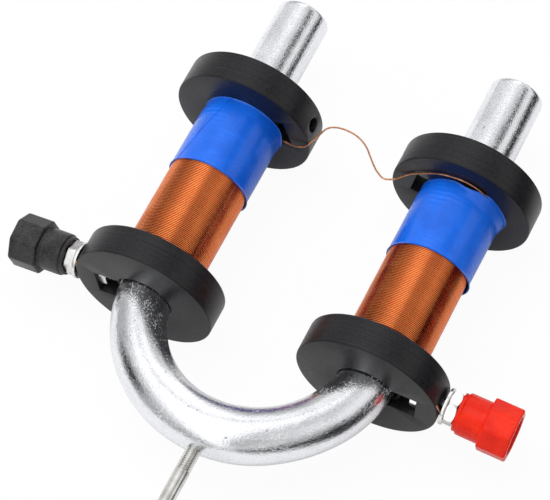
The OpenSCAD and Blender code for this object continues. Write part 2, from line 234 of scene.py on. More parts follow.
scene.view_settings.view_transform = "Standard"
world = bpy.data.worlds.new("tent")
scene.world = world
world.use_nodes = True
tree = world.node_tree
tree.nodes.clear()
toward = put(tree, "ShaderNodeTexCoord").outputs["Generated"]
axes = axes_of(tree, toward)
lean = figure(tree, "DIVIDE", figure(tree, "ARCTAN2", axes["Z"], axes["X"]), math.pi)
off_wall = figure(tree, "ABSOLUTE", figure(tree, "SUBTRACT", axes["Y"], FAR_WALL))
tent_glow = put(tree, "ShaderNodeMix", {
    "Factor": spread(tree, off_wall, WALL_HALF, WALL_FADED, 1, 0),
    MIX_A: ramp(tree, lean, *((at, (glow,) * 3) for at, glow in TENT_NEAR)),
    MIX_B: ramp(tree, lean, *((at, (glow,) * 3) for at, glow in TENT_FAR))}, data_type="RGBA")
skirt = spread(tree, axes["X"], SKIRT_RISES_FROM, SKIRT_RISES_TO, 0, SKIRT_RISE)
over_skirt = figure(tree, "SUBTRACT", axes["Z"], skirt)
shown_share = spread(tree, over_skirt, SKIRT_LOW, SKIRT_HIGH, SKIRT_GLOW, 1)
for centre, inner, outer, left_lit in DARK_CARDS:
    off_card = vector_figure(tree, "DISTANCE", {0: toward, 1: centre})
    beside_card = spread(tree, off_card, inner, outer, left_lit, 1)
    shown_share = figure(tree, "MULTIPLY", shown_share, beside_card)
tent_light = vector_figure(tree, "SCALE", {0: tent_glow.outputs[MIX_OUT], "Scale": shown_share})
tent = put(tree, "ShaderNodeBackground", {"Color": tent_light})
backdrop = put(tree, "ShaderNodeBackground", {"Color": (1, 1, 1, 1)})
fill = put(tree, "ShaderNodeBackground", {"Color": (0.97, 0.98, 1, 1), "Strength": 0.55})
from_camera, from_shine = ray_kinds(tree)
shown = mixed(tree, from_camera, mixed(tree, from_shine, fill, tent), backdrop)
put(tree, "ShaderNodeOutputWorld", {"Surface": shown.outputs[0]})


def soft_box(name, place, size, watts):
    """A lamp behind white cloth, aimed at the magnet and left out of its reflections."""
    data = bpy.data.lights.new(name, "AREA")
    data.shape = "RECTANGLE"
    data.size, data.size_y = size
    data.energy = watts
    lamp = add_object(name, data)
    lamp.location = place
    lamp.rotation_euler = (-Vector(place)).to_track_quat("-Z", "Y").to_euler()
    lamp.visible_glossy = False


soft_box("overhead_box", (-0.25, 0.1, 1.5), (1.1, 1.4), 16)
soft_box("west_box", (-1.5, -0.3, 0.9), (0.8, 1.2), 7)

floor_mesh = bpy.data.meshes.new("table_top")
table_corners = [(x * TABLE_HALF, y * TABLE_HALF, 0) for x, y in ((-1, -1), (1, -1), (1, 1), (-1, 1))]
floor_mesh.from_pydata(table_corners, [], [(0, 1, 2, 3)])
floor = add_object("table_top", floor_mesh)
paper, tree, shader = new_finish("white_paper", roughness=0.7, base_color=(0.82, 0.82, 0.82, 1))
from_camera, from_shine = ray_kinds(tree)
eastward = axes_of(tree, object_place(tree))["X"]
past_paper = spread(tree, eastward, PAPER_ENDS, PAPER_GONE, 0, 1)
mirrored = figure(tree, "MULTIPLY", from_shine, figure(tree, "MAXIMUM", past_paper, LEAST_MIRRORED))
lifted = figure(tree, "MAXIMUM", figure(tree, "MULTIPLY", from_camera, TABLE_WHITENED), mirrored)
table_glow = figure(tree, "MAXIMUM", figure(tree, "SUBTRACT", TABLE_GLOW, past_paper), BEYOND_GLOW)
glow = put(tree, "ShaderNodeEmission", {"Strength": figure(tree, "MAXIMUM", table_glow, from_camera)})
feed(tree, tree.nodes["Material Output"], surface=mixed(tree, lifted, shader, glow).outputs[0])
floor_mesh.materials.append(paper)

# Core: round bar of 22 mm, bent cold into a U, with rounded pole faces and zinc plating.
# The skin keeps low lumps and pits that are drawn out along the bar, and the bend is
# pressed a little flat on one side, where it was held.
CORE_R = 11
LEG_X = 47
LEG_START_Y = 1.0
LEG_LEN = 136
BEND_LEN = math.pi * LEG_X
POLE_ROUND = 2
SKIN_SUNK = 0.05
LUMPS = ((0.07, 1), (0.03, 3.7), (0.012, 9))
LUMP_ALONG, LUMP_ROUND, LUMPS_FADE = 0.03, 1.6, 3
PRESSED_AT, PRESSED_HALF = math.radians(130), 0.49
PRESS_DEPTH, PRESS_RATE, PRESS_RISE = 1.0, 3.2, 0.4
BAR_STEPS, BAR_SIDES = 420, 128
END_STATIONS = (0, 0.02, 0.1, 0.3, 0.6, 1.0, 1.5, 2.0)


def stretched(tree, place, scale):
    return put(tree, "ShaderNodeMapping", {"Vector": place, "Scale": scale}).outputs["Vector"]


def blended(tree, first, share, second):
    """So large a share of the first value, and the rest of the second."""
    rest = figure(tree, "MULTIPLY", second, 1 - share)
    return figure(tree, "MULTIPLY_ADD", first, share, rest)


def raise_bumps(tree, shader, height, strength, depth):
    bump = put(tree, "ShaderNodeBump", {"Height": height, "Strength": strength, "Distance": depth})
    feed(tree, shader, normal=bump.outputs["Normal"])


def skin(name, rings, finish, closed=False, attribute=None, crease=math.radians(33)):
    """A closed skin over rings of points, each ring joined to the next."""
    count = len(rings[0])
    total = len(rings) if closed else len(rings) - 1
    points = [p for ring in rings for p in ring]
    faces = []
    for i in range(total):
        a, b = i * count, (i + 1) % len(rings) * count
        for k in range(count):
            n = (k + 1) % count
            faces.append((a + k, a + n, b + n, b + k))
    if not closed:
        faces.append(tuple(range(count)))
        faces.append(tuple(range(len(points) - 1, len(points) - 1 - count, -1)))
    mesh = bpy.data.meshes.new(name)
    mesh.from_pydata(points, [], faces)
    if attribute:
        layer = mesh.attributes.new(attribute[0], "FLOAT_VECTOR", "POINT")
        layer.data.foreach_set("vector", [c for p in attribute[1] for c in p])
    shell = bmesh.new()
    shell.from_mesh(mesh)
    bmesh.ops.recalc_face_normals(shell, faces=shell.faces)
    shell.to_mesh(mesh)
    shell.free()
    mesh.polygons.foreach_set("use_smooth", [True] * len(faces))
    mesh.set_sharp_from_angle(angle=crease)
    mesh.materials.append(finish)
    return add_object(name, mesh)


def bar_station(s):
    """Centre of the bar and its outward side, so far along from the left pole face."""
    if s < LEG_LEN:
        return Vector((-LEG_X, LEG_START_Y + LEG_LEN - s, LEG_Z / MM)), Vector((-1, 0, 0))
    if s > LEG_LEN + BEND_LEN:
        return Vector((LEG_X, LEG_START_Y + s - LEG_LEN - BEND_LEN, LEG_Z / MM)), Vector((1, 0, 0))
    turned = (s - LEG_LEN) / LEG_X
    outward = Vector((-math.cos(turned), -math.sin(turned), 0))
    return Vector((0, LEG_START_Y, LEG_Z / MM)) + outward * LEG_X, outward


zinc, tree, shader = new_finish("zinc_plated_bar")
along = put(tree, "ShaderNodeAttribute", attribute_name="along_bar").outputs["Vector"]
drawn = stretched(tree, along, (0.7, 1, 1))
cloud = noise_fac(tree, drawn, 110.0, 5.0, 0.65)
spangle = noise_fac(tree, drawn, 1500.0, 3.0, 0.7)
mottle = blended(tree, cloud, 0.4, spangle)
pit = put(tree, "ShaderNodeTexVoronoi", {"Vector": drawn, "Scale": 330.0}).outputs
pit_lot = put(tree, "ShaderNodeSeparateColor", {"Color": pit["Color"]}).outputs[0]
rare = spread(tree, pit_lot, 0.72, 0.8, 0, 1)
pitted = figure(tree, "MULTIPLY", rare, spread(tree, pit["Distance"], 0.05, 0.2, 1, 0))
shade = figure(tree, "SUBTRACT", mottle, figure(tree, "MULTIPLY", pitted, 0.25))
feed(tree, shader, metallic=spread(tree, mottle, 0.53, 0.64, 0.98, 0.5),
     roughness=spread(tree, mottle, 0.4, 0.62, 0.03, 0.16),
     base_color=ramp(tree, shade, (0.2, (0.16, 0.16, 0.17)), (0.38, (0.72, 0.73, 0.76)),
                     (0.5, (0.88, 0.89, 0.92)), (0.66, (0.93, 0.93, 0.95))))
relief = figure(tree, "SUBTRACT", spangle, figure(tree, "MULTIPLY", pitted, 0.3))
raise_bumps(tree, shader, relief, 1.0, 0.00008)

bar_len = 2 * LEG_LEN + BEND_LEN
stations = list(END_STATIONS)
stations += [POLE_ROUND + (bar_len - 2 * POLE_ROUND) * i / BAR_STEPS for i in range(1, BAR_STEPS)]
stations += [bar_len - s for s in reversed(END_STATIONS)]
rings, along_bar = [], []
for s in stations:
    centre, outward = bar_station(s)
    to_end = min(s, bar_len - s)
    lost = POLE_ROUND - math.sqrt(POLE_ROUND ** 2 - max(0, POLE_ROUND - to_end) ** 2)
    off_press = (s - LEG_LEN) / LEG_X - PRESSED_AT
    press = 0
    if abs(off_press) < PRESSED_HALF:
        press = PRESS_DEPTH * max(0, math.cos(off_press * PRESS_RATE)) ** 2
    ring = []
    for k in range(BAR_SIDES):
        t = 2 * math.pi * k / BAR_SIDES
        spot = Vector((s * LUMP_ALONG, math.cos(t) * LUMP_ROUND, math.sin(t) * LUMP_ROUND))
        lump = sum(height * noise.noise(spot * fine) for height, fine in LUMPS)
        r = CORE_R - SKIN_SUNK - lost + lump * min(1, to_end / LUMPS_FADE)
        r -= press * max(0, math.cos(t - PRESS_RISE)) ** 2
        ring.append((centre + outward * (r * math.cos(t)) + Vector((0, 0, r * math.sin(t)))) * MM)
        along_bar.append((s * MM, r * math.cos(t) * MM, r * math.sin(t) * MM))
    rings.append(ring)
bar = skin("core_bar", rings, zinc, attribute=("along_bar", along_bar))
stand_in(bar, "core")

# Mounting rod: 6 mm steel, with a coarse thread for its last stretch, screwed into the
# outside of the bend. The turned blank gets its thread cut by the node tree.
ROD_R = 3
ROD_OUT = 80
ROD_IN = 11.9
ROD_THREAD = 9.4
ROD_TAIL_R = 2.6
BEND_BOTTOM = LEG_START_Y - LEG_X - CORE_R
THREAD_PITCH = 1.0
THREAD_DEPTH = 0.58
THREAD_RINGS = 8
AXIS_R = 0.01
GROOVE_FLOOR, GROOVE_LIP = 0.06, 0.44
ONLY_OUTSIDE = 0.93


def lathe(name, outline, finish, sides, radius=None, closed=True, crease=math.radians(33)):
    """Turn an outline of (radius, height) in mm round the local Z axis."""
    rings = []
    for r, z in outline:
        ring = []
        for k in range(sides):
            t = 2 * math.pi * k / sides
            reach = radius(r, z, t) if radius else r
            ring.append(Vector((reach * math.cos(t), reach * math.sin(t), z)) * MM)
        rings.append(ring)
    return skin(name, rings, finish, closed, crease=crease)


def new_tree(name, *sizes):
    """A geometry tree that takes a blank, its named sizes and a finish."""
    tree = bpy.data.node_groups.new(name, "GeometryNodeTree")
    tree.interface.new_socket("Geometry", in_out="INPUT", socket_type="NodeSocketGeometry")
    for size in sizes:
        tree.interface.new_socket(size, in_out="INPUT", socket_type="NodeSocketFloat")
    tree.interface.new_socket("Finish", in_out="INPUT", socket_type="NodeSocketMaterial")
    tree.interface.new_socket("Geometry", in_out="OUTPUT", socket_type="NodeSocketGeometry")
    return tree, put(tree, "NodeGroupInput").outputs


def end_tree(tree, geometry, finish):
    """Make real what a geometry tree has grown, and give it its finish."""
    real = put(tree, "GeometryNodeRealizeInstances", {0: geometry})
    dressed = put(tree, "GeometryNodeSetMaterial", {"Geometry": real.outputs[0], "Material": finish})
    put(tree, "NodeGroupOutput", {0: dressed.outputs[0]})


def plain_mesh(piece):
    """The mesh that a piece has with all its modifiers."""
    graph = bpy.context.evaluated_depsgraph_get()
    return bpy.data.meshes.new_from_object(piece.evaluated_get(graph))


def grow(name, blank, tree, **sizes):
    """Run a geometry tree on a blank, and keep what it makes as a plain mesh."""
    modifier = blank.modifiers.new(tree.name, "NODES")
    modifier.node_group = tree
    identifiers = {item.name: item.identifier for item in tree.interface.items_tree
                   if item.item_type == "SOCKET" and item.in_out == "INPUT"}
    for key, value in sizes.items():
        modifier[identifiers[socket_name(key)]] = value
    mesh = plain_mesh(blank)
    bpy.data.objects.remove(blank)
    return add_object(name, mesh)


def seat(piece, place):
    """Put a finished piece at its place, and turn a mirrored one the right way out."""
    piece.data.transform(place)
    if place.determinant() < 0:
        piece.data.flip_normals()


thread_cutter, given = new_tree("thread_cutter", "Pitch", "Depth", "Crest", "First", "Last", "Hand")
tree = thread_cutter
axes = axes_of(tree, put(tree, "GeometryNodeInputPosition").outputs[0])
angle = figure(tree, "ARCTAN2", axes["Y"], axes["X"])
turns_round = figure(tree, "MULTIPLY", figure(tree, "DIVIDE", angle, 2 * math.pi), given["Hand"])
travel = figure(tree, "SUBTRACT", figure(tree, "DIVIDE", axes["Z"], given["Pitch"]), turns_round)
flank = figure(tree, "ABSOLUTE", figure(tree, "SUBTRACT", figure(tree, "FRACT", travel), 0.5))
groove = spread(tree, flank, GROOVE_FLOOR, GROOVE_LIP, 1, 0)
flat = put(tree, "ShaderNodeCombineXYZ", {"X": axes["X"], "Y": axes["Y"]}).outputs[0]
reach = vector_figure(tree, "LENGTH", {0: flat})
bore_side = figure(tree, "MULTIPLY", given["Crest"], ONLY_OUTSIDE)
outside = figure(tree, "GREATER_THAN", reach, bore_side)
run_in = figure(tree, "DIVIDE", figure(tree, "SUBTRACT", axes["Z"], given["First"]), given["Pitch"])
run_out = figure(tree, "DIVIDE", figure(tree, "SUBTRACT", given["Last"], axes["Z"]), given["Pitch"])
ends = put(tree, "ShaderNodeClamp", {0: figure(tree, "MINIMUM", run_in, run_out)}).outputs[0]
cut = figure(tree, "MULTIPLY", figure(tree, "MULTIPLY", groove, given["Depth"]),
             figure(tree, "MULTIPLY", outside, ends))
inward = vector_figure(tree, "NORMALIZE", {0: flat})
offset = vector_figure(tree, "SCALE", {0: inward, "Scale": figure(tree, "MULTIPLY", cut, -1)})
moved = put(tree, "GeometryNodeSetPosition", {"Geometry": given["Geometry"], "Offset": offset})
end_tree(tree, moved.outputs[0], given["Finish"])


def threaded(name, outline, crest, first, last, hand, finish, sides=48):
    """Turn a blank, with close rings on the threaded stretch, and cut its thread."""
    fine = []
    for (r, z), (next_r, next_z) in zip(outline, outline[1:] + outline[-1:]):
        fine.append((r, z))
        if r == next_r == crest:
            count = int(abs(next_z - z) / THREAD_PITCH * THREAD_RINGS)
            fine += [(r, z + (next_z - z) * i / count) for i in range(1, count)]
    blank = lathe(name + "_blank", fine, finish, sides, closed=False, crease=math.radians(70))
    return grow(name, blank, thread_cutter, pitch=THREAD_PITCH * MM, depth=THREAD_DEPTH * MM,
                crest=crest * MM, first=first * MM, last=last * MM, hand=float(hand), finish=finish)


rod_steel, tree, shader = new_finish("rod_steel", metallic=1.0)
place = object_place(tree)
draw_marks = noise_fac(tree, stretched(tree, place, (1, 0.06, 1)), 2600.0, 3.0)
feed(tree, shader, roughness=spread(tree, draw_marks, 0.3, 0.7, 0.2, 0.36),
     base_color=ramp(tree, noise_fac(tree, place, 240.0, 4.0),
                     (0.3, (0.66, 0.65, 0.62)), (0.7, (0.90, 0.89, 0.87))))
raise_bumps(tree, shader, draw_marks, 0.3, 0.00005)

rod_outline = [(AXIS_R, 0), (2.4, 0), (2.5, 0.05), (ROD_R, 0.55), (ROD_R, ROD_OUT - ROD_THREAD),
               (ROD_R, ROD_OUT + 1.5), (ROD_TAIL_R, ROD_OUT + 2), (ROD_TAIL_R, ROD_OUT + ROD_IN),
               (AXIS_R, ROD_OUT + ROD_IN)]
rod = threaded("rod_turned", rod_outline, ROD_R, ROD_OUT - ROD_THREAD, ROD_OUT + 3, 1, rod_steel)
along_y = Matrix.Rotation(-math.pi / 2, 4, "X")
seat(rod, Matrix.Translation((0, (BEND_BOTTOM - ROD_OUT) * MM, LEG_Z)) @ along_y)
stand_in(rod, "suspension_rod")

# Bobbins: a tube between two thick flanges turned from black plastic, each with a window
# to the bore and a hole through the rim. They slide on the bar and stop at its bend.
FLANGE_R = 29
FLANGE_T = 13
FLANGE_LIP = 3
BORE_R = 11.9
TUBE_SEAT_R = 13.15
TUBE_R = 13.1
TUBE_GAP = 0.1
BOBBIN_LEN = 100
WINDOW_REACH = 20.3
WINDOW_W = 12.947
RIM_HOLE_R = 3.1
HOLE_CUT_AT, HOLE_CUT_LEN = 24, 24
BROKEN_EDGE = 0.22
EASE_STEPS = 3
POST_DROOP_DEG = 5
POST_DROOP = math.radians(POST_DROOP_DEG)
HOLE_RISE = math.radians(14)
SIDES = (("left", -1), ("right", 1))


def on_leg(side):
    """Frame on a leg's axis, from the outer face of the lower flange, X away from the gap."""
    return Matrix.Translation((side * LEG_X * MM, YOKE_FACE_Y, LEG_Z)) @ Matrix.Diagonal((side, 1, 1, 1))


lathe_lines = bpy.data.node_groups.new("lathe_lines", "ShaderNodeTree")
lathe_lines.interface.new_socket("Spacing", in_out="INPUT", socket_type="NodeSocketFloat")
for result in ("Height", "Dust", "From Axis"):
    lathe_lines.interface.new_socket(result, in_out="OUTPUT", socket_type="NodeSocketFloat")
tree = lathe_lines
given = put(tree, "NodeGroupInput").outputs
place = object_place(tree)
axes = axes_of(tree, place)
from_leg = figure(tree, "SUBTRACT", figure(tree, "ABSOLUTE", axes["X"]), LEG_X * MM)
from_plane = figure(tree, "SUBTRACT", axes["Z"], LEG_Z)
from_axis = figure(tree, "SQRT", figure(tree, "ADD", figure(tree, "MULTIPLY", from_leg, from_leg),
                                        figure(tree, "MULTIPLY", from_plane, from_plane)))
tool_feed = figure(tree, "DIVIDE", figure(tree, "ADD", from_axis, axes["Y"]), given["Spacing"])
feed_marks = put(tree, "ShaderNodeTexNoise", {"W": tool_feed, "Scale": 1.0, "Detail": 3.0,
                                              "Roughness": 0.7}, noise_dimensions="1D")
dust = noise_fac(tree, place, 900.0, 4.0, 0.7)
put(tree, "NodeGroupOutput", {"Height": feed_marks.outputs["Fac"], "Dust": dust,
                              "From Axis": from_axis})

turned_black, tree, shader = new_finish("turned_black_plastic", specular_ior_level=0.3)
marks = put(tree, "ShaderNodeGroup", {"Spacing": 0.00055}, node_tree=lathe_lines).outputs
feed(tree, shader, roughness=spread(tree, marks["Dust"], 0.3, 0.7, 0.26, 0.4),
     base_color=ramp(tree, blended(tree, marks["Height"], 0.6, marks["Dust"]),
                     (0.35, (0.002, 0.002, 0.003)), (0.65, (0.019, 0.019, 0.021))))
raise_bumps(tree, shader, marks["Height"], 0.7, 0.00008)


def eased(corners):
    """An outline whose corners (radius, height, ease) are rounded over their ease."""
    outline = []
    for i, (r, z, ease) in enumerate(corners):
        here = Vector((r, z))
        if not ease:
            outline.append((r, z))
            continue
        before = here + (Vector(corners[i - 1][:2]) - here).normalized() * ease
        after = here + (Vector(corners[(i + 1) % len(corners)][:2]) - here).normalized() * ease
        for k in range(EASE_STEPS + 1):
            t = k / EASE_STEPS
            point = before * (1 - t) ** 2 + here * (2 * t * (1 - t)) + after * t ** 2
            outline.append((point.x, point.y))
    return outline


def carve(piece, name, size, place):
    """Cut a box, or a round hole when the size is a radius, out of a piece."""
    tool = bpy.data.meshes.new(name)
    shape = bmesh.new()
    if isinstance(size, tuple):
        bmesh.ops.create_cube(shape, size=1, matrix=place @ Matrix.Diagonal((*size, 1)))
    else:
        bmesh.ops.create_cone(shape, cap_ends=True, segments=48, radius1=size, radius2=size,
                              depth=HOLE_CUT_LEN * MM, matrix=place)
    shape.to_mesh(tool)
    shape.free()
    cutter = add_object(name, tool)
    cutting = piece.modifiers.new("cut", "BOOLEAN")
    cutting.object = cutter
    cutting.solver = "EXACT"
    mesh = plain_mesh(piece)
    piece.modifiers.remove(cutting)
    piece.data = mesh
    bpy.data.objects.remove(cutter)


def flange(name):
    """A flange with its outer face at height 0, its window and hole towards +X."""
    outline = eased([(BORE_R, 0, 0.4), (FLANGE_R, 0, 0.7), (FLANGE_R, FLANGE_T, 0.7),
                     (TUBE_SEAT_R, FLANGE_T, 0), (TUBE_SEAT_R, FLANGE_LIP, 0),
                     (BORE_R, FLANGE_LIP, 0)])
    disc = lathe(name, outline, turned_black, sides=144)
    carve(disc, "window_tool", (WINDOW_REACH * MM, WINDOW_W * MM, 2 * FLANGE_T * MM),
          Matrix.Translation((WINDOW_REACH / 2 * MM, 0, FLANGE_T / 2 * MM)))
    across = Matrix.Rotation(math.pi / 2, 4, "Y")
    carve(disc, "hole_tool", RIM_HOLE_R * MM,
          Matrix.Translation((HOLE_CUT_AT * MM, 0, FLANGE_T / 2 * MM)) @ across)
    broken = disc.modifiers.new("broken_edges", "BEVEL")
    broken.width = BROKEN_EDGE * MM
    broken.segments = 2
    broken.limit_method = "ANGLE"
    broken.angle_limit = math.radians(50)
    mesh = plain_mesh(disc)
    disc.modifiers.remove(broken)
    disc.data = mesh
    mesh.set_sharp_from_angle(angle=math.radians(33))
    return disc


tube_ends = (FLANGE_LIP + TUBE_GAP, BOBBIN_LEN - FLANGE_LIP - TUBE_GAP)
tube_outline = eased([(BORE_R, tube_ends[0], 0.2), (TUBE_R, tube_ends[0], 0.2),
                      (TUBE_R, tube_ends[1], 0.2), (BORE_R, tube_ends[1], 0.2)])
for word, side in SIDES:
    lower = flange(word + "_yoke_flange_turned")
    seat(lower, on_leg(side) @ Matrix.Rotation(POST_DROOP, 4, "Y") @ along_y)
    upper = flange(word + "_pole_flange_turned")
    facing_back = Matrix.Translation((0, BOBBIN_LEN * MM, 0)) @ Matrix.Diagonal((-1, -1, 1, 1))
    seat(upper, on_leg(side) @ facing_back @ Matrix.Rotation(-HOLE_RISE, 4, "Y") @ along_y)
    tube = lathe(word + "_tube_turned", tube_outline, turned_black, sides=96)
    seat(tube, on_leg(side) @ along_y)
    stand_in(lower, word + "_yoke_flange")
    stand_in(upper, word + "_pole_flange")
    stand_in(tube, word + "_bobbin_tube")

# Coils: enamelled copper wire, wound turn against turn. The node tree lays the top layer,
# with the small wanderings of a hand-fed winder, over a sleeve that stands for the rest.
DRUM_R = 15.95
TURNS_TOP = 59.4
FIRST_TURN = 13.42
WIRE_PITCH = 0.705
WANDER = 0.02
COIL_START = math.radians(110)
TAPE_TOP = 86.95
INNER_LAYERS = [(TUBE_SEAT_R, 13.1, 0), (15.7, 13.1, 0.1), (15.7, 59.8, 0), (16.25, 59.8, 0.1),
                (16.25, 84, 0), (15.35, TAPE_TOP, 0.1), (TUBE_SEAT_R, TAPE_TOP, 0)]

wound_wire, given = new_tree("wound_wire", "Turns", "Pitch", "Drum Radius", "Wire Radius", "Wander")
tree = wound_wire
coil = put(tree, "GeometryNodeCurveSpiral", {
    "Resolution": 64, "Rotations": given["Turns"],
    "Height": figure(tree, "MULTIPLY", given["Turns"], given["Pitch"]),
    "Start Radius": given["Drum Radius"], "End Radius": given["Drum Radius"]})
place = put(tree, "GeometryNodeInputPosition").outputs[0]
stray = put(tree, "ShaderNodeTexNoise", {"Vector": place, "Scale": 160.0, "Detail": 2.0})
centred = vector_figure(tree, "SUBTRACT", {0: stray.outputs["Color"], 1: (0.5, 0.5, 0.5)})
shift = vector_figure(tree, "SCALE", {0: centred, "Scale": given["Wander"]})
laid = put(tree, "GeometryNodeSetPosition", {"Geometry": coil.outputs[0], "Offset": shift})
gauge = put(tree, "GeometryNodeCurvePrimitiveCircle", {"Resolution": 8, "Radius": given["Wire Radius"]})
drawn = put(tree, "GeometryNodeCurveToMesh", {"Curve": laid.outputs[0], "Profile Curve": gauge.outputs[0],
                                              "Fill Caps": True})
smooth = put(tree, "GeometryNodeSetShadeSmooth", {0: drawn.outputs[0]})
end_tree(tree, smooth.outputs[0], given["Finish"])

coil_enamel, tree, shader = new_finish("coil_enamel", metallic=1.0)
place = object_place(tree)
turn_at = figure(tree, "MULTIPLY", axes_of(tree, place)["Y"], 1400.0)
by_turn = put(tree, "ShaderNodeTexNoise", {"W": turn_at, "Scale": 1.0},
              noise_dimensions="1D").outputs["Fac"]
blend = blended(tree, by_turn, 0.5, noise_fac(tree, place, 120.0))
# Painted light: the colour follows each wire's height over the drum. It is near black down in the grooves
# between turns as painted shade, and golden on the crests as a painted highlight. The share by turn adds a
# random tone.
reach = put(tree, "ShaderNodeGroup", {"Spacing": 0.001}, node_tree=lathe_lines).outputs["From Axis"]
crest = spread(tree, reach, (DRUM_R - 0.1) * MM, (DRUM_R + 0.32) * MM, 0, 0.8)
crest = figure(tree, "MULTIPLY_ADD", blend, 0.4, figure(tree, "SUBTRACT", crest, 0.2))
feed(tree, shader, roughness=spread(tree, by_turn, 0.3, 0.7, 0.05, 0.12),
     base_color=ramp(tree, crest, (0, (0.05, 0.005, 0.002)), (0.4, (0.45, 0.13, 0.035)),
                     (0.8, (0.9, 0.62, 0.13))))
# The red under layer is painted the same way: dark red in the grooves as painted shade, and bright red on
# the crests as a painted highlight.
under = put(tree, "ShaderNodeBsdfPrincipled", {"Metallic": 1.0, "Roughness": 0.24})
feed(tree, under, base_color=ramp(tree, crest, (0, (0.2, 0.005, 0.005)), (0.8, (1.0, 0.04, 0.05))))
feed(tree, tree.nodes["Material Output"], surface=mixed(tree, 0.57, shader, under).outputs[0])

inner_enamel, tree, shader = new_finish("inner_enamel", metallic=0.8, roughness=0.4)
feed(tree, shader, base_color=ramp(tree, noise_fac(tree, object_place(tree), 300.0),
                                   (0.3, (0.16, 0.04, 0.012)), (0.7, (0.28, 0.08, 0.025))))

for word, side in SIDES:
    blank = lathe(word + "_coil_blank", [(1, 0), (1, 1)], coil_enamel, sides=8, closed=False)
    coil = grow(word + "_coil_wound", blank, wound_wire, turns=(TURNS_TOP - FIRST_TURN) / WIRE_PITCH,
                pitch=WIRE_PITCH * MM, wander=WANDER * MM, drum_radius=DRUM_R * MM,
                wire_radius=WIRE_D / 2, finish=coil_enamel)
    seat(coil, on_leg(side) @ along_y @ Matrix.Translation((0, 0, FIRST_TURN * MM))
         @ Matrix.Rotation(COIL_START, 4, "Z"))
    sleeve = lathe(word + "_inner_layers", eased(INNER_LAYERS), inner_enamel, sides=96)
    seat(sleeve, on_leg(side) @ along_y)
    stand_in(coil, word + "_outer_winding")
    stand_in(sleeve, word + "_inner_winding")

# Leads: each coil's free end leaves its first turn, lies on the flange's inner face and
# crosses the rim past the stud, where the washer clamps it.
WINDING_R = 16.3
OFF_WINDING, OFF_FACE, OFF_RIM = 0.35, 0.45, 0.4
# On the coil a point is (angle, radius, height), on the face (share of the way out, angle)
# and on the rim (angle, share of the flange's thickness).
LEAD_ON_COIL = [(-126, 15.95, 13.42), (-114, 15.98, 13.42), (-100, 16.3, 13.43)]
LEAD_ON_FACE = [(0.01, -78), (0.15, -72), (0.38, -62), (0.66, -50), (0.89, -41)]
LEAD_ON_RIM = [(-35.5, 1), (-32, 0.94), (-28, 0.85), (-23, 0.73), (-17, 0.65), (-12, 0.54), (-8, 0.42),
               (-6, 0.31), (-3, 0.22), (1, 0.19), (5, 0.16), (10, 0.1), (14.5, 0.07), (18, 0.06)]


def round_leg(angle, r, y):
    return Vector((r * math.cos(math.radians(angle)), y, r * math.sin(math.radians(angle)))) * MM


for word, side in SIDES:
    route = [round_leg(angle + POST_DROOP_DEG, r, y) for angle, r, y in LEAD_ON_COIL]
    for share, angle in LEAD_ON_FACE:
        r = WINDING_R + share * (FLANGE_R - WINDING_R) + OFF_WINDING
        route.append(round_leg(angle, r, FLANGE_T + OFF_FACE))
    route += [round_leg(angle, FLANGE_R + OFF_RIM, share * FLANGE_T) for angle, share in LEAD_ON_RIM]
    place = on_leg(side) @ Matrix.Rotation(POST_DROOP, 4, "Y")
    lead = bent_wire(word + "_lead_bent", [place @ point for point in route], wire_copper)
    stand_in(lead, word + "_lead_wire")

# Tape: wide blue insulating tape holds the upper half of each coil. It is pulled tight
# over the wire, which shows through in faint ribs, and its cut end makes a slanting step.
TAPE_R = 16.35
TAPE_T = 0.4
TAPE_EDGE = 55.5
# A swell is (angle, half width, rise at the foot, along the tape, at the top), and the dip
# where the link wire goes in is (angle, half width, depth).
TAPES = {
    "left": {"slant": 1, "seam_foot": 41, "seam_lean": -35.5, "dip": (183, 24, 1.3),
             "swells": ((30, 80, 0, 0, -0.6), (188, 60, 0.3, 0.2, 0.7))},
    "right": {"slant": 0.5, "seam_foot": -60, "seam_lean": 30, "dip": (74, 26, 1.1),
              "swells": ((150, 80, 0, 0, -0.6), (-10, 60, 0.5, 0.9, 0.8), (4, 38, 0, 0, 0.9),
                         (48, 40, 0, 0, 2.0))}}
FOOT_FADE, TOP_FADE = 2.2, 5.5
FOOT_CURL, FOOT_CURL_FADE = 0.28, 0.9
TOP_CURL, TOP_CURL_FADE = 0.32, 0.7
WRINKLE, WRINKLES_ROUND, WRINKLES_UP = 0.09, 2.2, 0.11
LAP_FADE = 0.45
NEARLY_ROUND = 0.9996
RIB_PITCH = 2.2
TAPE_SIDES, TAPE_ROWS, INNER_ROW_STEP = 300, 90, 5

blue_tape, tree, shader = new_finish("blue_tape", coat_weight=0.25, coat_roughness=0.1,
                                     specular_ior_level=0.3)
place = object_place(tree)
along = axes_of(tree, place)["Y"]
waver = figure(tree, "MULTIPLY_ADD", noise_fac(tree, place, 150.0), 0.0016, along)
ribs = figure(tree, "SINE", figure(tree, "MULTIPLY", waver, 2 * math.pi / (RIB_PITCH * MM)))
patch = noise_fac(tree, place, 90.0, 3.0)
creases = noise_fac(tree, stretched(tree, place, (1, 2, 1)), 130.0)
feed(tree, shader, roughness=spread(tree, patch, 0.3, 0.7, 0.24, 0.34),
     base_color=ramp(tree, patch, (0.3, (0.004, 0.105, 0.62)), (0.7, (0.008, 0.15, 0.80))))
pressed = figure(tree, "MULTIPLY", ribs, spread(tree, patch, 0.46, 0.62, 0.03, 0.5))
raise_bumps(tree, shader, figure(tree, "MULTIPLY_ADD", creases, 1.6, pressed), 1.0, 0.00009)


def within(angle, centre, half):
    """How far an angle in degrees is inside a stretch of the round: 1 at its middle, 0 outside."""
    off = abs((angle - centre + 180) % 360 - 180)
    return math.cos(off / half * math.pi / 2) ** 2 if off < half else 0


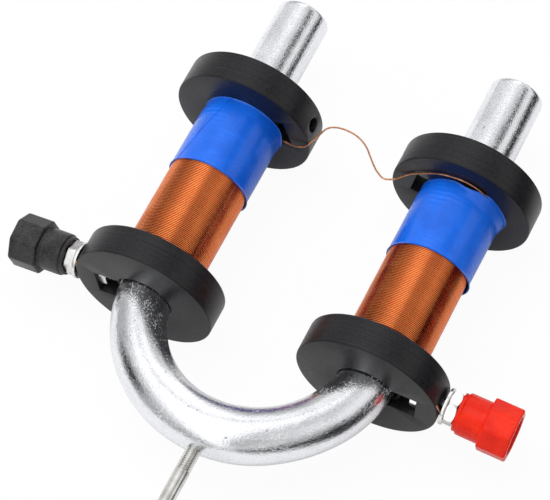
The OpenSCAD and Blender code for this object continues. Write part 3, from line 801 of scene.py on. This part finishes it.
def tape_ring(up, outer, slant, seam_foot, seam_lean, dip, swells):
    """One ring of the tape's outer or inner side, at a share of the way up from its edge."""
    ring = []
    for k in range(TAPE_SIDES):
        wrap = k / (TAPE_SIDES - 1) * NEARLY_ROUND
        degrees = seam_foot - seam_lean * up - 360 * wrap
        angle = math.radians(degrees)
        edge = TAPE_EDGE + TAPE_R * math.cos(angle) * math.tan(math.radians(slant))
        top = TAPE_TOP - dip[2] * within(degrees, dip[0], dip[1])
        y = edge + up * (top - edge)
        low = max(0, 1 - (y - edge) / FOOT_FADE) ** 2
        high = max(0, 1 - (TAPE_TOP - y) / TOP_FADE)
        r = TAPE_R
        for centre, half, at_foot, along, at_top in swells:
            rise = at_foot * low + along * (0.55 + 0.45 * up) + at_top * high * high * (3 - 2 * high)
            r += within(degrees, centre, half) * rise
        if outer:
            spot = Vector((math.cos(angle) * WRINKLES_ROUND, math.sin(angle) * WRINKLES_ROUND,
                           y * WRINKLES_UP))
            r += TAPE_T * (1 - LAP_FADE * wrap) + WRINKLE * noise.noise(spot)
            r += (FOOT_CURL * max(0, 1 - (y - edge) / FOOT_CURL_FADE) ** 2
                  + TOP_CURL * max(0, 1 - (top - y) / TOP_CURL_FADE) ** 2)
        ring.append(Vector((r * math.cos(angle), y, r * math.sin(angle))) * MM)
    return ring


for word, side in SIDES:
    layers = [tape_ring(row / TAPE_ROWS, True, **TAPES[word]) for row in range(TAPE_ROWS + 1)]
    layers += [tape_ring(row / TAPE_ROWS, False, **TAPES[word])
               for row in range(TAPE_ROWS, -1, -INNER_ROW_STEP)]
    tape = skin(word + "_tape_wrapped", layers, blue_tape, closed=True, crease=math.radians(40))
    seat(tape, on_leg(side))
    stand_in(tape, word + "_tape")

# Binding posts: a hollow 6 mm stud through each lower rim, held by a nut in the window and
# by a washer and nut outside, which clamp the lead. All are steel with bright plating.
STUD_AT, STUD_TIP = 15.8, 53.3
STUD_LEN = STUD_TIP - STUD_AT
STUD_R, STUD_END_R = 3, 2.5
SOCKET_R, SOCKET_DEPTH = 2, 19
SOCKET_MOUTH_R = SOCKET_R + 0.25
NUT_BORE_R, NUT_MOUTH_R, NUT_MOUTH = 3.15, 3.5, 0.35
NUT_CHAMFER_SLOPE = 1.9
INNER_NUT_AT, INNER_NUT_T = 17, 3.2
WASHER_AT, WASHER_T, WASHER_R = 29.7, 1.4, 7.3
OUTER_NUT_AT, OUTER_NUT_T = 31.1, 4
NUT_FLATS = {"inner": 10, "outer": 12}
NUT_TURN = {"left": math.radians(2.8), "right": math.radians(14.2)}

bright_plating, tree, shader = new_finish("bright_plating", metallic=1.0)
place = object_place(tree)
cloud = noise_fac(tree, place, 420.0, 4.0, 0.6)
feed(tree, shader, roughness=spread(tree, cloud, 0.3, 0.7, 0.14, 0.28),
     base_color=ramp(tree, cloud, (0.3, (0.74, 0.74, 0.73)), (0.62, (0.9, 0.9, 0.89))))
raise_bumps(tree, shader, noise_fac(tree, place, 1500.0, 3.0), 0.25, 0.00008)


def on_post(side, along):
    """Frame on a binding post: local Z runs out along the post from the leg's axis."""
    drooped = on_leg(side) @ Matrix.Rotation(POST_DROOP, 4, "Y")
    in_rim = Matrix.Translation((along * MM, FLANGE_T / 2 * MM, 0))
    return drooped @ in_rim @ Matrix.Rotation(math.pi / 2, 4, "Y")


def nut(name, across, thickness, turn):
    """A six-sided nut whose corners are chamfered at both ends."""
    def flats(r, z, t):
        if r < across / 2 - 0.5:
            return r
        off_flat = (t - turn) % (math.pi / 3) - math.pi / 6
        chamfer = across / 2 + 0.05 + NUT_CHAMFER_SLOPE * min(z, thickness - z)
        return min(r / math.cos(off_flat), chamfer)
    heights = [0, 0.1, 0.2, 0.3, 0.4, 0.5]
    heights += [thickness - h for h in reversed(heights)]
    outline = [(NUT_BORE_R, NUT_MOUTH), (NUT_MOUTH_R, 0)]
    outline += [(across / 2, h) for h in heights]
    outline += [(NUT_MOUTH_R, thickness), (NUT_BORE_R, thickness - NUT_MOUTH)]
    return lathe(name, outline, bright_plating, sides=96, radius=flats, crease=math.radians(25))


stud_outline = [(AXIS_R, 0), (2.3, 0), (STUD_END_R, 0.1), (STUD_R, 0.6), (STUD_R, STUD_LEN - 0.5),
                (2.6, STUD_LEN - 0.05), (STUD_END_R, STUD_LEN), (SOCKET_MOUTH_R, STUD_LEN),
                (SOCKET_R, STUD_LEN - 0.3), (SOCKET_R, STUD_LEN - SOCKET_DEPTH),
                (AXIS_R, STUD_LEN - SOCKET_DEPTH)]
washer_outline = eased([(NUT_BORE_R, 0, 0.1), (WASHER_R, 0, 0.25), (WASHER_R, WASHER_T, 0.35),
                        (NUT_BORE_R, WASHER_T, 0.1)])
for word, side in SIDES:
    stud = threaded(word + "_stud_cut", stud_outline, STUD_R, -1, STUD_LEN + 1, side, bright_plating,
                    sides=40)
    seat(stud, on_post(side, STUD_AT))
    inner = nut(word + "_inner_nut_cut", NUT_FLATS["inner"], INNER_NUT_T, NUT_TURN[word])
    seat(inner, on_post(side, INNER_NUT_AT))
    outer = nut(word + "_outer_nut_cut", NUT_FLATS["outer"], OUTER_NUT_T, NUT_TURN[word])
    seat(outer, on_post(side, OUTER_NUT_AT))
    washer = lathe(word + "_washer_turned", washer_outline, bright_plating, sides=96)
    seat(washer, on_post(side, WASHER_AT))
    for piece, node in ((stud, "_stud"), (inner, "_inner_nut"), (outer, "_outer_nut"), (washer, "_washer")):
        stand_in(piece, word + node)

# Knobs: moulded plastic, black on the left and red on the right, each on a brass bush. The
# round neck has a low rim at its inner end, and the eight-sided grip is hollow in front.
KNOB_AT = 35.3
NECK_R, COLLAR_R = 8.4, 7.6
NECK_PART = 10.9
GRIP_R = 10.8
BLUNT_CORNER = 0.985
KNOB_LEN = 22.7
MOUTH_R, MOUTH_DEPTH = 7.8, 6
CUFF_R, CUFF_DEPTH = 6.4, 1.5
STUD_HOLE_R = 3.24
GRIP_TURN = {"left": math.radians(12.7), "right": math.radians(6.5)}
BUSH_R, BUSH_BORE_R, BUSH_LEN = 4.5, 3.06, 10
BUSH_SEAT_R, BUSH_SEAT_TOP = BUSH_R + 0.06, BUSH_LEN + 0.1

brass, tree, shader = new_finish("turned_brass", metallic=1.0, roughness=0.28)
feed(tree, shader, base_color=ramp(tree, noise_fac(tree, object_place(tree), 500.0),
                                   (0.3, (0.55, 0.36, 0.13)), (0.7, (0.78, 0.56, 0.24))))


def moulded(name, dark, light, rough, specular, grain):
    """Moulded plastic: a faint flow pattern in its colour, and a skin with fine pores."""
    plastic, tree, shader = new_finish(name, specular_ior_level=specular)
    place = object_place(tree)
    pores = noise_fac(tree, place, 1300.0, 4.0, 0.7)
    shade = blended(tree, noise_fac(tree, place, 160.0, 3.0), 1 - grain, pores)
    feed(tree, shader, base_color=ramp(tree, shade, (0.4, dark), (0.6, light)),
         roughness=spread(tree, shade, 0.4, 0.6, rough - 0.06, rough + 0.08))
    raise_bumps(tree, shader, pores, 1.0, 0.0002 * grain)
    return plastic


KNOB_PLASTIC = {
    "left": moulded("black_plastic_satin", (0.004, 0.004, 0.004), (0.040, 0.039, 0.038),
                    rough=0.34, specular=0.4, grain=0.6),
    "right": moulded("red_plastic_gloss", (0.74, 0.013, 0.002), (0.86, 0.024, 0.004),
                     rough=0.22, specular=0.2, grain=0.15)}


def knob(name, plastic, turn):
    """A knob about its own axis, its inner end at height 0."""
    def facets(r, z, t):
        if z < NECK_PART - 0.01 or r < MOUTH_R + 0.6:
            return r
        off_flat = (t + turn) % (math.pi / 4) - math.pi / 8
        flat = r * math.cos(math.pi / 8) / math.cos(off_flat)
        return min(flat, r * BLUNT_CORNER)
    outline = eased([
        (BUSH_SEAT_R, CUFF_DEPTH, 0), (CUFF_R, CUFF_DEPTH, 0.1), (CUFF_R, 0, 0.25), (COLLAR_R, 0, 0.3),
        (COLLAR_R, 1.45, 0.2), (NECK_R - 0.1, 1.7, 0.3), (NECK_R, 3.2, 0.5), (NECK_R, NECK_PART - 0.4, 0.2),
        (NECK_R + 0.15, NECK_PART - 0.02, 0), (NECK_R + 0.2, NECK_PART, 0), (GRIP_R - 0.7, NECK_PART, 0),
        (GRIP_R - 0.25, NECK_PART + 0.15, 0), (GRIP_R, NECK_PART + 0.55, 0), (GRIP_R, KNOB_LEN - 0.6, 0),
        (GRIP_R - 0.2, KNOB_LEN - 0.25, 0), (GRIP_R - 0.6, KNOB_LEN, 0), (MOUTH_R, KNOB_LEN, 0.25),
        (MOUTH_R, KNOB_LEN - MOUTH_DEPTH, 0.3), (STUD_HOLE_R, KNOB_LEN - MOUTH_DEPTH, 0),
        (STUD_HOLE_R, BUSH_SEAT_TOP, 0), (BUSH_SEAT_R, BUSH_SEAT_TOP, 0)])
    return lathe(name, outline, plastic, sides=128, radius=facets, crease=math.radians(24))


bush_outline = eased([(BUSH_BORE_R, 0, 0.3), (BUSH_R, 0, 0.3), (BUSH_R, BUSH_LEN, 0.2),
                      (BUSH_BORE_R, BUSH_LEN, 0.3)])
for word, side in SIDES:
    grip = knob(word + "_knob_moulded", KNOB_PLASTIC[word], GRIP_TURN[word])
    seat(grip, on_post(side, KNOB_AT))
    bush = lathe(word + "_bush_turned", bush_outline, brass, sides=64)
    seat(bush, on_post(side, KNOB_AT))
    stand_in(grip, word + "_knob")
    stand_in(bush, word + "_bush")
